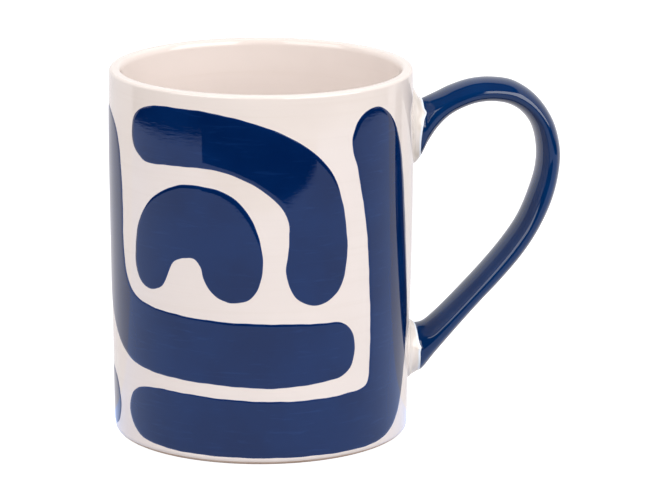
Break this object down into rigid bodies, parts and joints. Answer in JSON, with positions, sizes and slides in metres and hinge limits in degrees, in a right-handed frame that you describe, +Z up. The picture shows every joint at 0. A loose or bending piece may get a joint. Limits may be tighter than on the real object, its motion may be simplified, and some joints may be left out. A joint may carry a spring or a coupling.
{
  "type": "mug",
  "caption": "Straight-sided glazed stoneware mug with a pulled loop handle, an unglazed foot ring and broad rounded cobalt bands on a cream wall.",
  "frame": {"origin": "centre of the foot ring's resting face, on the cup's own axis", "axes": "+Z up along the cup axis, +X towards the handle, +Y to the side away from the painted front"},
  "size_m": [0.1282, 0.0854, 0.1039],
  "materials": {
    "cream_glaze": "glossy clear glaze over a warm cream body",
    "cobalt_glaze": "glossy deep cobalt glaze, brushed on",
    "bare_clay": "matt unglazed fired clay"
  },
  "bodies": {
    "root": {"cup_body": "cream_glaze", "foot_ring": "bare_clay", "handle_strap": "cobalt_glaze", "upper_handle_joint": "cream_glaze", "lower_handle_joint": "cream_glaze", "blue_arch_band": "cobalt_glaze", "blue_horseshoe": "cobalt_glaze", "blue_hook_band": "cobalt_glaze", "blue_corner_band": "cobalt_glaze", "back_arch_band": "cobalt_glaze", "back_horseshoe": "cobalt_glaze", "back_bar_band": "cobalt_glaze", "back_corner_band": "cobalt_glaze"}
  },
  "joints": []
}
